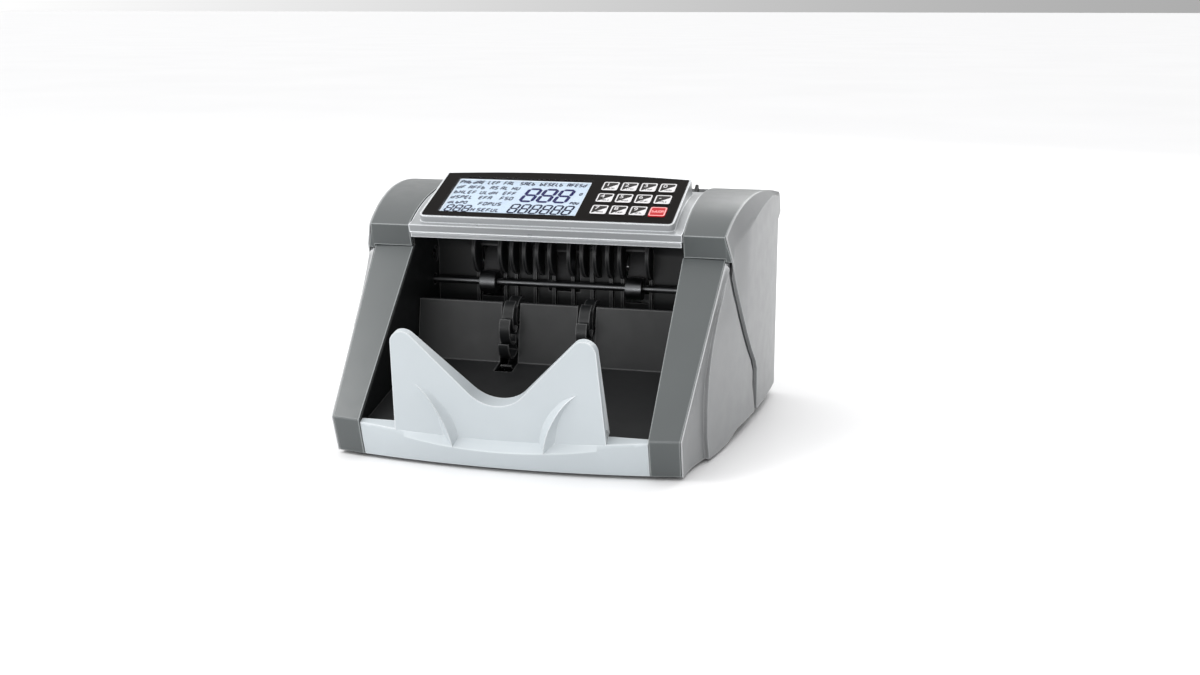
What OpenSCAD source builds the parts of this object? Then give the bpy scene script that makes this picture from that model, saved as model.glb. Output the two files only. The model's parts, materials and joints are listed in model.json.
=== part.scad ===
// Desktop banknote counting machine: casing, control panel, stacker, hopper and note drive.
// Millimetres. +X is the operator's right, +Y is the back, +Z is up. Z = 0 is the table.

/* [Casing] */
// Clear width of the stacker pocket between the front pillars
opening_w = 196; // [194:0.5:197]
// Thickness of the moulded outer shells
shell_t = 2.6; // [2.2:0.1:2.8]
// Thickness of the front pillars and hood caps
front_t = 3; // [2.6:0.1:3.2]
// Radius of the bowed sides, seen from above
side_r = 933.6; // [925:1:940]
// Depth of the scooped step on the front side panels
scoop_step = 3; // [0.8:0.1:3.2]

/* [Control panel] */
// Slope of the control panel above the horizontal
panel_angle = 20.6; // [20:0.1:21]
// Width of the black overlay at its lower edge
overlay_w = 181; // [178:0.5:182]
// Length of the overlay up the slope, at its ends
overlay_len = 64; // [63:0.5:65]
// Width of one key opening
key_w = 12.5; // [11.5:0.1:12.7]
// Length of one key opening up the slope
key_len = 13.5; // [12.5:0.1:14]
// Gap between a key cap and its opening, on each side
key_gap = 0.3; // [0.2:0.05:0.5]

/* [Stacker] */
// Height of the bottom of the notch in the stacker plate
notch_z = 46; // [44:0.5:50]
// Height of the horn tips of the stacker plate
horn_z = 93.7; // [91:0.1:95]
// Outer radius of the impeller wheels
impeller_r = 29; // [27:0.5:29]
// Number of fingers on one impeller wheel
impeller_fingers = 10; // [8:1:12]

/* [Note drive] */
// Outer radius of the two counting rollers
drive_r = 17; // [16:0.5:17]
// Outer radius of the pick-up rollers under the hopper
feed_r = 12; // [11.5:0.1:12]
// Radius of the steel shafts
shaft_r = 3; // [2.5:0.1:3]

/* [Hopper] */
// Distance of each note guide from the middle at rest
guide_x = 84; // [80:1:88]
// Height of the note guides, square to the hopper plate
guide_h = 22; // [18:1:24]

/* [Hidden] */
KEYS = [["key_1", 0, 0], ["key_2", 1, 0], ["key_3", 2, 0], ["key_0", 3, 0],
        ["key_4", 0, 1], ["key_5", 1, 1], ["key_6", 2, 1], ["key_minus", 3, 1],
        ["key_7", 0, 2], ["key_8", 1, 2], ["key_9", 2, 2], ["key_start", 3, 2]];

$fn = 64;
half_w = opening_w / 2;        // inner face of the pillars and of the pocket
gap = 0.2;                     // clearance between neighbouring mouldings
foot_h = 2.5;                  // the casing's front edge stands this high
rear_z = 7.5;                  // the casing's rear bottom edge
side_c = [-789.4, 107.5];      // centre of the bowed side, in plan
rear_y = 121;                  // inner face of the rear cover
fold_z = 28;                   // fold between the pillar's foot and its slope
brow_z = 127.7;                // fold between the pillar and the hood
overlay_bow = 4.5;             // rise of the overlay's upper edge in the middle
panel_o = [0, -18.5, 150.8];   // middle of the overlay's lower edge
rabbet = 1;                    // thin lip of the side shells around the dark front pieces

drive_c = [50, 105];           // shaft centres as [y, z]
feed_c = [83.5, 115.3];
pinch_c = [26.2, 96.3];
stacker_c = [2, 62];
motor_c = [96, 72];
stacker_motor_c = [54, 56];
pinch_r = 8;
belt_t = 1.2;
belt_gap = 0.3;
belt_side = 1.3;               // each belt's edge lies this far inside its pulley's end
main_pulley_r = 16;
motor_pulley_r = 9;
feed_pulley_r = 9;
stacker_pulley_r = 14;
stacker_motor_pulley_r = 7;
plate_x = 101.5;               // inner face of the steel mechanism plates
plate_t = 2;
pulley_x = 106;                // inner face of the first pulley row
pulley_w = 8;
feed_pulley_x = 116;
feed_pulley_w = 6;

// ---- curves and helpers -------------------------------------------------

// Point on the bowed side at depth y
function side_x(y) = side_c[0] + sqrt(side_r * side_r - pow(y - side_c[1], 2));
function mix(a, b, t) = a + (b - a) * t;
function clamp01(t) = min(1, max(0, t));
function ease(t) = let (c = clamp01(t)) c * c * (3 - 2 * c);
function reverse(pts) = [for (i = [len(pts) - 1:-1:0]) pts[i]];
function flatten(rows) = [for (row = rows) for (p = row) p];
// Points of a cubic curve from a to d
function bezier(a, b, c, d, n) =
    [for (i = [0:n]) let (t = i / n, s = 1 - t)
        pow(s, 3) * a + 3 * s * s * t * b + 3 * s * t * t * c + pow(t, 3) * d];
// An open line moved to its right by d
function inset(pts, d) =
    [for (i = [0:len(pts) - 1])
        let (a = pts[max(i - 1, 0)], b = pts[min(i + 1, len(pts) - 1)], t = (b - a) / norm(b - a))
        pts[i] + d * [t[1], -t[0]]];

// Side view of the hood: front foot, brow, then the long curve to the back
hood_curve = bezier([-21, 143.5], [10, 164], [60, 170], [rear_y - gap, 157.6], 20);
hood_line = concat([[-16.1, brow_z + gap]], hood_curve);
// Height of the hood's top edge at depth y
function hood_z(y) = lookup(y, hood_curve);

// Extrudes a [y, z] outline across the machine, from x0 to x1
module across(x0, x1) {
    translate([x0, 0, 0]) rotate([90, 0, 90]) linear_extrude(x1 - x0) children();
}
// Round bar or wheel about an x axis through centre c = [y, z]
module bar(c, r, x0, x1) {
    translate([x0, c[0], c[1]]) rotate([0, 90, 0]) cylinder(r = r, h = x1 - x0);
}
module ring(c, r, bore, x0, x1) {
    difference() {
        bar(c, r, x0, x1);
        bar(c, bore, x0 - 1, x1 + 1);
    }
}
module both_sides() {
    children();
    mirror([1, 0, 0]) children();
}
module box(x0, x1, y0, y1, z0, z1) {
    translate([x0, y0, z0]) cube([x1 - x0, y1 - y0, z1 - z0]);
}
// Frame of the control panel: x across, y up the slope, z square to the panel
module on_panel() {
    translate(panel_o) rotate([panel_angle, 0, 0]) children();
}
// Closed solid between two grids of points of the same size
module grid_solid(outer, inner) {
    rows = len(outer);
    cols = len(outer[0]);
    far = rows * cols;
    function a(i, j) = i * cols + j;
    function b(i, j) = far + a(i, j);
    skin = [for (i = [0:rows - 2]) for (j = [0:cols - 2]) each [
        [a(i, j), a(i + 1, j + 1), a(i, j + 1)], [a(i, j), a(i + 1, j), a(i + 1, j + 1)],
        [b(i, j), b(i, j + 1), b(i + 1, j + 1)], [b(i, j), b(i + 1, j + 1), b(i + 1, j)]]];
    ends = [for (j = [0:cols - 2]) each [
        [a(0, j), a(0, j + 1), b(0, j)], [a(0, j + 1), b(0, j + 1), b(0, j)],
        [a(rows - 1, j), b(rows - 1, j + 1), a(rows - 1, j + 1)],
        [a(rows - 1, j), b(rows - 1, j), b(rows - 1, j + 1)]]];
    sides = [for (i = [0:rows - 2]) each [
        [a(i, 0), b(i + 1, 0), a(i + 1, 0)], [a(i, 0), b(i, 0), b(i + 1, 0)],
        [a(i, cols - 1), a(i + 1, cols - 1), b(i, cols - 1)],
        [a(i + 1, cols - 1), b(i + 1, cols - 1), b(i, cols - 1)]]];
    polyhedron(concat(flatten(outer), flatten(inner)), concat(skin, ends, sides), convexity = 6);
}

// ---- lines on the side of the casing ------------------------------------

// Outer edge of the pillar as [x, y] at height z
function edge_xy(z) = z < fold_z
    ? mix([118.8, -108.7], [119.2, -116.5], (z - foot_h) / (fold_z - foot_h))
    : mix([119.2, -116.5], [128.5, -14.3], (z - fold_z) / (brow_z - fold_z));
// Crease where the scooped strip meets the main side panel
crease_line = [[foot_h, -67], [18, -71], [38, -71.5], [62, -66], [78, -57], [93.5, -43], [108, -29.5],
               [125.5, -16.5]];
function crease_y(z) = lookup(z, crease_line);
// How far the front side panel pulls in from the bowed side along its crease
crease_inset = [[38, 0], [62, 1.2], [78, 2.2], [93.5, 4], [125.5, 5]];
// Front edge of the open seam between the side panels, as [z, y]
seam_line = [[rear_z, 38.5], [28.5, 37.2], [38, 36.7], [45.2, 31.7], [57, 18.2], [70.3, 5.9], [84.7, -5.9],
             [91.7, -10.8], [104, -16], [114.5, -18.7], [125.5, -22]];
seam_w = 7;
seam_step = 1.6;               // the rear side cover stands this far proud of the front side panel
function seam_y(z) = lookup(z, seam_line);
// How far the bowed side is drawn in towards the shoulder under the hood
function pull(y, z) = 3.2 * ease((z - 88) / 34) * ease((16 - y) / 30);
function shell_x(y, z) = side_x(y) - pull(y, z);
// The front side panel runs out in a slanted tip above this height
panel_top = 119;
// Bottom edge of the casing at depth y: low in front, raised behind
function bottom_z(y) = mix(foot_h, rear_z, clamp01((y + 35) / 25));

// ---- casing -------------------------------------------------------------

base_outline = [[-104, foot_h], [-36, foot_h], [-10, rear_z], [rear_y - gap, rear_z],
                [rear_y - gap, rear_z + 3], [-11, rear_z + 3], [-37, foot_h + 3], [-104, foot_h + 3]];
foot_at = [[96, -50], [104, 104]];
// Floor plan between the bowed sides, pulled in by less
module plan(less) {
    intersection_for(side = [0, 1])
        mirror([side, 0]) translate(side_c) circle(r = side_r - less, $fn = 360);
}
module base_pan() {
    color("dimgray") {
        intersection() {
            across(-140, 140) polygon(base_outline);
            translate([0, 0, -1]) linear_extrude(20) union() {
                plan(shell_t + 3.6);
                intersection() {
                    plan(shell_t + 0.4);
                    translate([-200, -52]) square([400, 200]);
                }
            }
        }
        box(-96, 96, -108.6, -103, foot_h, foot_h + 3);
        both_sides() box(64, 67, 10, 110, rear_z + 2.9, rear_z + 6);
    }
}

// Folded front sheet of a pillar: foot, fold and slope
module pillar() {
    heights = [foot_h, fold_z, brow_z - gap];
    inner_y = [-113, -120.5, -16.1];
    front = [for (i = [0:2]) let (e = edge_xy(heights[i]), x1 = e[0] - rabbet - gap,
            outer_y = mix(inner_y[i], e[1], (x1 - half_w) / (e[0] - half_w)))
        [[half_w, inner_y[i], heights[i]], [x1, outer_y, heights[i]]]];
    back = [for (row = front) [for (p = row) p + [0, front_t + 0.5, 0]]];
    color("#6f7374") grid_solid(front, back);
}

// Outer edge of the hood's top at depth y
hood_corner = [129, -21];      // its front end, as [x, y]
hood_flare = 0.1007;           // how fast it runs outwards
function hood_x(y) = hood_corner[0] + (y - hood_corner[1]) * hood_flare;
// The hood's front face runs on outwards to the side cover in a thin wedge
wedge_t = 2.2;
wedge_line = [[-20.7, 142.8], [-15.4, 125.7]];   // its top and bottom, as [y, z]
module hood_wedge() {
    intersection() {
        across(126.8, 140) polygon(concat(wedge_line, [for (p = reverse(wedge_line)) p + [wedge_t, 0]]));
        translate([0, 50, 0]) rotate([90, 0, 0]) linear_extrude(100)
            polygon([[127.5, wedge_line[0][1]], [127.5, wedge_line[1][1]], [132, wedge_line[1][1]]]);
    }
}
module hood_cap() {
    cap_edge = [for (y = [-30, rear_y]) hood_x(y) - rabbet - gap];
    color("#6f7374") hood_wedge();
    color("#6f7374") intersection() {
        across(half_w + 1, 150) polygon(concat(hood_line, reverse(inset(hood_line, front_t))));
        translate([0, 0, 100]) linear_extrude(100)
            polygon([[half_w, -30], [cap_edge[0], -30],
                     [cap_edge[1], rear_y - gap], [half_w, rear_y - gap]]);
    }
}

// Front side panel: scooped strip behind the pillar, crease, then the bowed panel
module front_side() {
    heights = [foot_h, 10, 18, 28, 38, 48, 58, 68, 78, 87, 96, 104, 111, 115, panel_top];
    strip = [0, 0.12, 0.3, 0.5, 0.7, 0.86, 1];
    main = [0, 0.15, 0.35, 0.55, 0.78, 1];
    function crease_x(z) = side_x(crease_y(z)) - lookup(z, crease_inset);
    function strip_point(z, s) = let (e = edge_xy(z), wide = clamp01((crease_y(z) - e[1] - 8) / 14),
            step = mix(1.8, scoop_step, wide) * ease((125 - z) / 30),
            bow = mix(1.1, 1.5, wide) * sin(180 * s) * ease((120 - z) / 60))
        [mix(e[0], crease_x(z) - step, s) - bow, mix(e[1], crease_y(z), s)];
    function main_point(z, s) = let (y0 = crease_y(z) + 0.4, y = mix(y0, max(seam_y(z), y0 + 1), s),
            seam_inset = pull(y, z) + seam_step * ease((z - 12) / 12))
        [side_x(y) - mix(lookup(z, crease_inset), seam_inset, ease(s)), y];
    function place(x, y, z) = [x, y, z < fold_z / 2 ? max(z, bottom_z(y)) : z];
    function row(low, tip) = concat(
        [for (s = strip) let (z = low + tip * (6.2 - 2.8 * s), p = strip_point(z, s)) place(p[0], p[1], z)],
        [for (s = main) let (z = low + tip * (3.4 - 1.9 * s), p = main_point(z, s)) place(p[0], p[1], z)]);
    outer = concat([for (z = heights) row(z, 0)], [row(panel_top, 1)]);
    thin_reach = front_t + 1.2;
    inner = [for (row = outer) [for (j = [0:len(row) - 1])
        let (thin = row[max(j - 1, 0)][1] - row[0][1] < thin_reach)
            row[j] - [thin ? rabbet : shell_t, 0, 0]]];
    color("#a4a7ab") grid_solid(outer, inner);
}

// Front edge of the rear side cover, down the hood's front face and then the seam, as [y, z]
rear_edge = concat([[-21, 143.5], [-16.1, 127.9]], [for (p = reverse(seam_line)) [p[1] + seam_w, p[0]]]);
function rear_low_z(y) = y > 45.5 ? rear_z : lookup(y, rear_edge);
// Crease under the bevel that runs along the hood
rear_crease = [[-21, 126.5], [-13, 132.3], [5, 142.6], [32, 150.6], [57, 156], [90, 158.6], [rear_y, 157]];
// The cover's front edge under the hood runs straight from the hood's corner to the shoulder
shoulder_slope = [0.4, 0.108];   // how fast it runs outwards with depth and downwards
function cover_x(y, z) = min(shell_x(y, z),
    hood_corner[0] + shoulder_slope[0] * (y - hood_corner[1]) + shoulder_slope[1] * (143.5 - z));
module rear_side() {
    depths = [-20.5, -18.5, -16.1, -15, -13.2, -11.7, -9, -3.8, 1.1, 7, 12.9, 19, 25.2, 32, 38.7, 42,
              43.7, 44.2, 45.5, 46.5, 60, 75, 90, 105, rear_y - gap];
    function column(y) = let (top = hood_z(y), low = rear_low_z(y),
            crease = min(max(lookup(y, rear_crease), low + 0.4), top - min(front_t + 1, (top - low) / 2)))
        concat([for (t = [0, 0.25, 0.5, 0.75, 1]) let (z = mix(low, crease, t)) [cover_x(y, z), y, z]],
               [for (t = [0.35, 1]) let (z = mix(crease, top - min(front_t + 0.4, (top - crease) / 2), t))
                    [mix(cover_x(y, crease), hood_x(y), (z - crease) / (top - crease)), y, z]],
               [[hood_x(y), y, top]]);
    outer_columns = [for (y = depths) column(y)];
    // Thin along the hood and at the shoulder, where the dark hood cap lies inside
    function inner_x(p, j, last) = j >= last || p[1] < -12 ? p[0] - rabbet
        : j == last - 1 ? max(p[0] - shell_t, hood_x(p[1]) - rabbet) : p[0] - shell_t;
    inner_columns = [for (col = outer_columns) [for (j = [0:len(col) - 1])
        [inner_x(col[j], j, len(col) - 1), col[j][1], col[j][2]]]];
    color("#a9acb0") grid_solid(reverse(outer_columns), reverse(inner_columns));
}

// Dark strip that closes the seam from inside, sunk below the outer faces
module seam_trim() {
    sink = 3;
    heights = [11, 20, 28.5, 38, 45.2, 57, 70.3, 84.7, 91.7, 98, 104, 109, 114.5, panel_top, 125.2];
    function start_y(z) = max(seam_y(z) + 0.4, z >= panel_top ? -18 : -99);
    outer = [for (z = heights) [for (y = [start_y(z), seam_y(z) + seam_w + 1.5])
        [shell_x(y, z) - sink, y, z]]];
    inner = [for (row = outer) [for (p = row) p - [1.2, 0, 0]]];
    color("#5b5e60") grid_solid(outer, inner);
}

// Rear cover: flat back with the hooked lip above it
lip_y = 136.4;                  // rearmost point of the machine, as far back as the horns reach forward
lip_outer = [[rear_y + 3, 136], [lip_y, 140], [128.5, 155.5], [rear_y, 157.6]];
module rear_cover() {
    lip_inner = [[rear_y - 1, 139.5], [lip_y - 3.8, 141.6], [126.6, 152.8], [rear_y - 1, 154.4]];
    color("#a9acb0") difference() {
        across(-143.9, 143.9) polygon(concat([[rear_y, rear_z], [rear_y + 3, rear_z]], lip_outer));
        across(-141, 141) polygon(lip_inner);
        box(-door_w / 2 - 0.4, door_w / 2 + 0.4, rear_y - 1, rear_y + 4, door_low - 0.4, door_top + 0.4);
        box(inlet_at[0] - 14, inlet_at[0] + 14, rear_y - 1, rear_y + 4, inlet_at[1] - 11, inlet_at[1] + 11);
        box(switch_at[0] - 7, switch_at[0] + 7, rear_y - 1, rear_y + 4,
            switch_at[1] - 10.5, switch_at[1] + 10.5);
        translate([socket_at[0], rear_y - 1, socket_at[1]]) rotate([-90, 0, 0]) cylinder(r = 4.1, h = 5);
        for (i = [0:7]) box(86 + 4.5 * i, 88 + 4.5 * i, rear_y - 1, rear_y + 4, 60, 90);
    }
    color("#a9acb0") both_sides() difference() {
        union() {
            bar(hinge_c, knuckle_r, door_w / 2 - 10, door_w / 2 - 3);
            across(door_w / 2 - 10, door_w / 2 - 3) polygon([[rear_y + 2, hinge_c[1] - 6],
                [hinge_c[0], hinge_c[1] - knuckle_r], [hinge_c[0], hinge_c[1]], [rear_y + 2, hinge_c[1]]]);
        }
        bar(hinge_c, 1.25, door_w / 2 - 11, door_w / 2 - 4);
    }
}

// Service door, hung on two knuckles outside the rear cover
door_w = 140;
door_low = 58.3;
door_top = 128;
hinge_c = [126.4, 56.5];
knuckle_r = 2.1;
module rear_door() {
    knuckle_x = [door_w / 2 - 20, door_w / 2 - 10.3];
    color("#a9acb0") {
        box(-door_w / 2, door_w / 2, rear_y + 0.3, rear_y + 2.8, door_low, door_top);
        both_sides() {
            across(knuckle_x[0], knuckle_x[1]) polygon([
                [rear_y + 2.5, door_low + 0.2], [rear_y + 2.5, door_low + 6],
                [hinge_c[0] + knuckle_r * 0.9, hinge_c[1] + 1], [hinge_c[0] - 1, hinge_c[1] + 0.5]]);
            bar(hinge_c, knuckle_r, knuckle_x[0], knuckle_x[1]);
            bar(hinge_c, 1.2, knuckle_x[1] - 1, door_w / 2 - 4.2);
        }
        box(-12, 12, rear_y + 2.7, rear_y + 5, door_top - 6, door_top - 3);
    }
}

// ---- control panel ------------------------------------------------------

console_w = 98.5;
console_t = 2.4;
wall_back = 60;                // rear face of the feed wall, where the notes' edges rest
console_line = concat([[-20.6, 138.5], [-22.9, 144.2]],
    [for (p = hood_curve) if (p[0] > -20 && p[0] < 44) p - [0, 0.7]],
    [[48, 162.7], [wall_back, 162.9], [wall_back, 127.5]]);
frame_lines = 2.5;             // rim of the raised platform around the overlay
platform_back = 47.2;          // rear face of the raised platform

// Rounded outline of the overlay, larger all round by grow
module overlay_outline(grow) {
    r = 3 + grow;
    w0 = overlay_w / 2 + grow;
    bow_r = (pow(overlay_w / 2, 2) + pow(overlay_bow, 2)) / (2 * overlay_bow);
    top = overlay_len + overlay_bow + grow;
    intersection() {
        union() {
            translate([-w0, -grow + r]) square([2 * w0, 90]);
            translate([-w0 + r, -grow]) square([2 * (w0 - r), 90]);
            for (x = [-1, 1]) translate([x * (w0 - r), -grow + r]) circle(r = r);
        }
        translate([0, top - bow_r - grow]) circle(r = bow_r + grow, $fn = 360);
    }
}
// Key opening or cap outline in column i and row j, smaller all round by less
key_x = 36.2;
key_y = 50;
key_pitch_x = 13.87;
key_pitch_y = 17.4;
module key_outline(i, j, less = 0) {
    w = key_w - 2 * less;
    l = key_len - 2 * less;
    r = 1.6;
    translate([key_x + i * key_pitch_x, key_y - j * key_pitch_y]) {
        square([w - 2 * r, l], center = true);
        square([w, l - 2 * r], center = true);
        for (x = [-1, 1]) for (y = [-1, 1])
            translate([x * (w / 2 - r), y * (l / 2 - r)]) circle(r = r, $fn = 32);
    }
}
// Moves its children under the middle of a key, n above the panel
module at_key(key, n) {
    translate([key_x + key[1] * key_pitch_x, key_y - key[2] * key_pitch_y, n]) children();
}
lcd_box = [-80, 21, 6, 58.5];
module rect(b, less = 0) {
    translate([b[0] + less, b[2] + less]) square([b[1] - b[0] - 2 * less, b[3] - b[2] - 2 * less]);
}
recess = 1.2;
overlay_t = 1.6;

module control_bezel() {
    color("#c9cdd1") {
        difference() {
            across(-console_w, console_w)
                polygon(concat(console_line, reverse(inset(console_line, console_t))));
            on_panel() translate([0, 0, -30]) linear_extrude(60) overlay_outline(-0.4);
            box(-100, -half_w + 0.4, -17, wall_back + 1, 120, 141);
            box(half_w - 0.4, 100, -17, wall_back + 1, 120, 141);
            both_sides() box(half_w - 0.4, 100, 50, wall_back + 1, 120, 158.9);
            translate([0, knob_y, 150]) cylinder(r = 2.6, h = 30);
        }
        intersection() {
            across(-console_w, console_w)
                polygon(concat([[-24, 200], [-24, 144]],
                    [for (p = inset(console_line, 1.2)) if (p[0] < 44) p],
                    [[platform_back, 160.5], [platform_back, 200]]));
            on_panel() difference() {
                translate([0, 0, -26]) linear_extrude(26) overlay_outline(frame_lines - 1);
                translate([0, 0, -recess]) linear_extrude(5) overlay_outline(0.15);
                translate([0, 0, -40]) linear_extrude(37) overlay_outline(-1.6);
                translate([0, 0, -10]) linear_extrude(20) rect([-84, 86.5, 3.2, 61.5]);
            }
        }
    }
}

module display_overlay() {
    color("#221f1c") on_panel() translate([0, 0, -recess]) linear_extrude(overlay_t) difference() {
        overlay_outline(0);
        rect(lcd_box, -0.1);
        for (key = KEYS) key_outline(key[1], key[2]);
    }
}
module lcd_window() {
    color("#d1dfea") on_panel() translate([0, 0, -recess]) linear_extrude(1.4) rect(lcd_box);
}
module lcd_module() {
    color("#9fb4c8") on_panel() translate([0, 0, -6.8]) linear_extrude(5.4) rect([-82, 23, 4, 60.5]);
}
board_n = -9.6;
module control_board() {
    color("#1f5c3a") on_panel() {
        translate([0, 0, board_n]) linear_extrude(1.6) rect([-83, 86, 4, 60.8]);
        for (key = KEYS) at_key(key, board_n + 1.5) linear_extrude(3) square([6, 6], center = true);
        translate([0, 0, board_n + 1.5]) linear_extrude(1.3) rect([-70, 10, 12, 20]);
    }
}
module key_cap(key) {
    color(key[0] == "key_start" ? "#d6343a" : "#221f1c") on_panel() {
        translate([0, 0, -2.2]) linear_extrude(3.2) key_outline(key[1], key[2], key_gap);
        at_key(key, board_n + 5.1) linear_extrude(2.6) square([4, 4], center = true);
    }
}

// ---- stacker ------------------------------------------------------------

// Height of the horned plate's edge at distance x from the middle
horn_x = 60;
horn_outer = 68;
function horn_edge(x) =
    x < 12 ? notch_z + 26 - sqrt(26 * 26 - x * x)
    : x < 53 ? mix(notch_z + 2.94, horn_z - 4.6, (x - 12) / 41)
    : x < horn_x + 3 ? horn_z - 4.6 + 4.6 * sin(90 * (x - 53) / (horn_x + 3 - 53))
    : x < horn_outer
        ? horn_z - 8.5 * (1 - sqrt(1 - pow((x - horn_x - 3) / (horn_outer - horn_x - 3) * 0.999, 2)))
    : mix(horn_z - 8.4, 26, clamp01((x - horn_outer) / 3.8));
// One slice of the stacker plate's lip: foot, fold, front edge of its top face, rear edge
lean = 0.199;
plate_w = 71.7;                // half width of the leaning plate at its foot
function plate_y(z) = -122.9 - lean * (z - 26);
function lip_slice(x) =
    let (u = abs(x) / half_w, past = clamp01((abs(x) - plate_w) / (half_w - plate_w)),
         foot_y = -120.5 + 8.4 * u * u, fold = 15 + 10.8 * u * u, fold_y = -126.5 + 7.6 * u * u,
         edge = past > 0 ? mix(24.7, 26.4, past) : 22 + 2.7 * pow(x / plate_w, 2),
         edge_y = mix(plate_y(edge) + 0.25, -118.5, past), back = 28, back_y = -114.6)
    [[x, foot_y, foot_h], [x, fold_y, fold], [x, edge_y, edge], [x, back_y, back],
     [x, back_y, back - 2], [x, edge_y + 3, edge - 1.4], [x, fold_y + 3.3, min(fold - 1.2, edge - 3)],
     [x, foot_y + 3, foot_h]];
module slices_solid(slices) {
    n = len(slices[0]);
    last = len(slices) - 1;
    sides = [for (i = [0:last - 1]) for (j = [0:n - 1]) let (k = (j + 1) % n) each
        [[i * n + j, (i + 1) * n + k, i * n + k], [i * n + j, (i + 1) * n + j, (i + 1) * n + k]]];
    half = n / 2 - 2;
    first_cap = [for (j = [0:half]) each [[j, j + 1, n - 2 - j], [j, n - 2 - j, n - 1 - j]]];
    last_cap = [for (j = [0:half]) each [[last * n + n - 2 - j, last * n + j + 1, last * n + j],
        [last * n + n - 1 - j, last * n + n - 2 - j, last * n + j]]];
    polyhedron(flatten(slices), [for (f = concat(sides, first_cap, last_cap)) reverse(f)], convexity = 8);
}
// Frame of the leaning plate: x across, y up the plate, z out of its front face
module on_plate() {
    translate([0, plate_y(26), 26]) rotate([90 + atan(lean), 0, 0]) children();
}
module stacker_plate() {
    edge_x = [-71, -69.6, -68.2, -67.4, -66.4, -65, -63.2, -61, -58.5, -56, -53, -42, -30, -20, -12,
              -8, -4];
    edge = concat(edge_x, [0], [for (x = reverse(edge_x)) -x]);
    top_edge = [for (x = edge) [x, (horn_edge(abs(x)) - 26) / cos(atan(lean))]];
    outline = concat([[-plate_w, -6]], top_edge, [[plate_w, -6]]);
    // The horns are deep mouldings, about 12 mm at the notch and 5 mm at their tips
    deep_back = [[-145, 27.2], [-112.6, 27.2], [-113.6, 44], [-131.6, 95.2], [-145, 95.2]];
    color("#d1d8da") {
        slices_solid([for (x = [-half_w + gap:9.78:half_w]) lip_slice(x)]);
        on_plate() translate([0, 0, -3]) linear_extrude(3) polygon(outline);
        intersection() {
            on_plate() translate([0, 0, -22]) linear_extrude(19.6) polygon(outline);
            across(-plate_w, plate_w) polygon(deep_back);
        }
        both_sides() tusk();
    }
}
// Tusk-shaped rib, from the lip up the face of the plate
module tusk() {
    ridge = [[54.2, 32], [47, 26.5], [42, 20], [37, 12], [34, 5.5], [31.6, -3.5], [30.7, -9.6]];
    outer_w = [0.6, 3, 4, 4.6, 5.2, 7, 1.5];
    inner_w = [0.6, 3, 6.5, 8, 7.2, 5.5, 1.5];
    proud = [0.1, 1.8, 3.4, 4.6, 5.2, 5.3, 4.4];
    slices = [for (i = [0:len(ridge) - 1]) let (x = ridge[i][0], s = ridge[i][1])
        [[x - inner_w[i], s + 1, -1.2], [x, s, proud[i]], [x + outer_w[i], s - 1, -1.2], [x, s, -1.8]]];
    on_plate() slices_solid(slices);
}

module stacker_tray() {
    color("#4a4c4d") difference() {
        across(-half_w + 0.3, half_w - 0.3) polygon([[-114.4, 22], [-114.4, 24.2], [-14.6, 46],
            [-6.6, 88], [-3.4, 88], [-3.4, 84], [-11, 43.2], [-30, 39.8]]);
        both_sides() box(21.5, 34.5, -28.5, 0, 30, 92);
    }
}

module inner_wall() {
    front = [[-109.2, foot_h + 3.3], [-116.6, fold_z], [-12.2, brow_z], [-17.4, 143.2]];
    top = [for (p = inset(hood_line, front_t + gap)) if (p[0] > -14 && p[1] > 145) p];
    bottom = [[rear_y - 0.5, rear_z + 3.3], [-9, rear_z + 3.3], [-36, foot_h + 3.3]];
    color("#25282a") difference() {
        across(half_w, half_w + 2.5) polygon(concat(front, top, bottom));
        for (c = [drive_c, feed_c, stacker_c]) bar(c, shaft_r + 2, half_w - 1, half_w + 4);
        bar(pinch_c, 4, half_w - 1, half_w + 4);
        bar([29, 115], 5.6, half_w - 1, half_w + 4);
        bar(motor_c, motor_hole, half_w - 1, half_w + 4);
        bar(stacker_motor_c, 15.4, half_w - 1, half_w + 4);
    }
}
motor_hole = 19.4;

rib_x = [7.2, 21.6, 36];
module note_guide_comb() {
    color("#25282a") difference() {
        union() {
            across(-half_w + 0.3, half_w - 0.3) polygon([[34, 70], [34, 119], [30.5, 129], [22, 135],
                [8, 136.6], [-16, 136.6], [-16, 138.2], [10, 138.4], [23.5, 136.8], [32.3, 130.4],
                [36, 119.5], [36, 70]]);
            both_sides() for (x = concat(rib_x, [44.6, 65.4])) guide_rib(x);
        }
        both_sides() box(46.5, 63.5, 33, 37, 84, 125);
        box(-12, 12, 33.9, 37, 90, 121);
    }
}
// Upright rib of the comb with a rounded top
module guide_rib(x) {
    across(x - 1.2, x + 1.2) {
        translate([30.5, 72]) square([4, 48]);
        translate([34.1, 119.9]) circle(r = 3.6, $fn = 48);
    }
}

// ---- mechanism ----------------------------------------------------------

module mech_plate() {
    color("#b9bdc0") difference() {
        across(plate_x, plate_x + plate_t) polygon([[-9, rear_z + 3.2], [102, rear_z + 3.2], [114, 40],
            [112, 118], [92, 128], [40, 128], [14, 118], [-9, 84]]);
        for (c = [drive_c, feed_c, stacker_c, pinch_c]) bar(c, 6, plate_x - 1, plate_x + plate_t + 1);
        for (c = [motor_c, stacker_motor_c]) bar(c, 5, plate_x - 1, plate_x + plate_t + 1);
    }
}
module shaft_bearings() {
    color("#b08a4a") both_sides() {
        for (c = [drive_c, feed_c, stacker_c]) ring(c, 6, shaft_r + 0.05, plate_x, plate_x + 4);
        ring(pinch_c, 6, 2.55, plate_x, plate_x + 4);
    }
}

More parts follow.
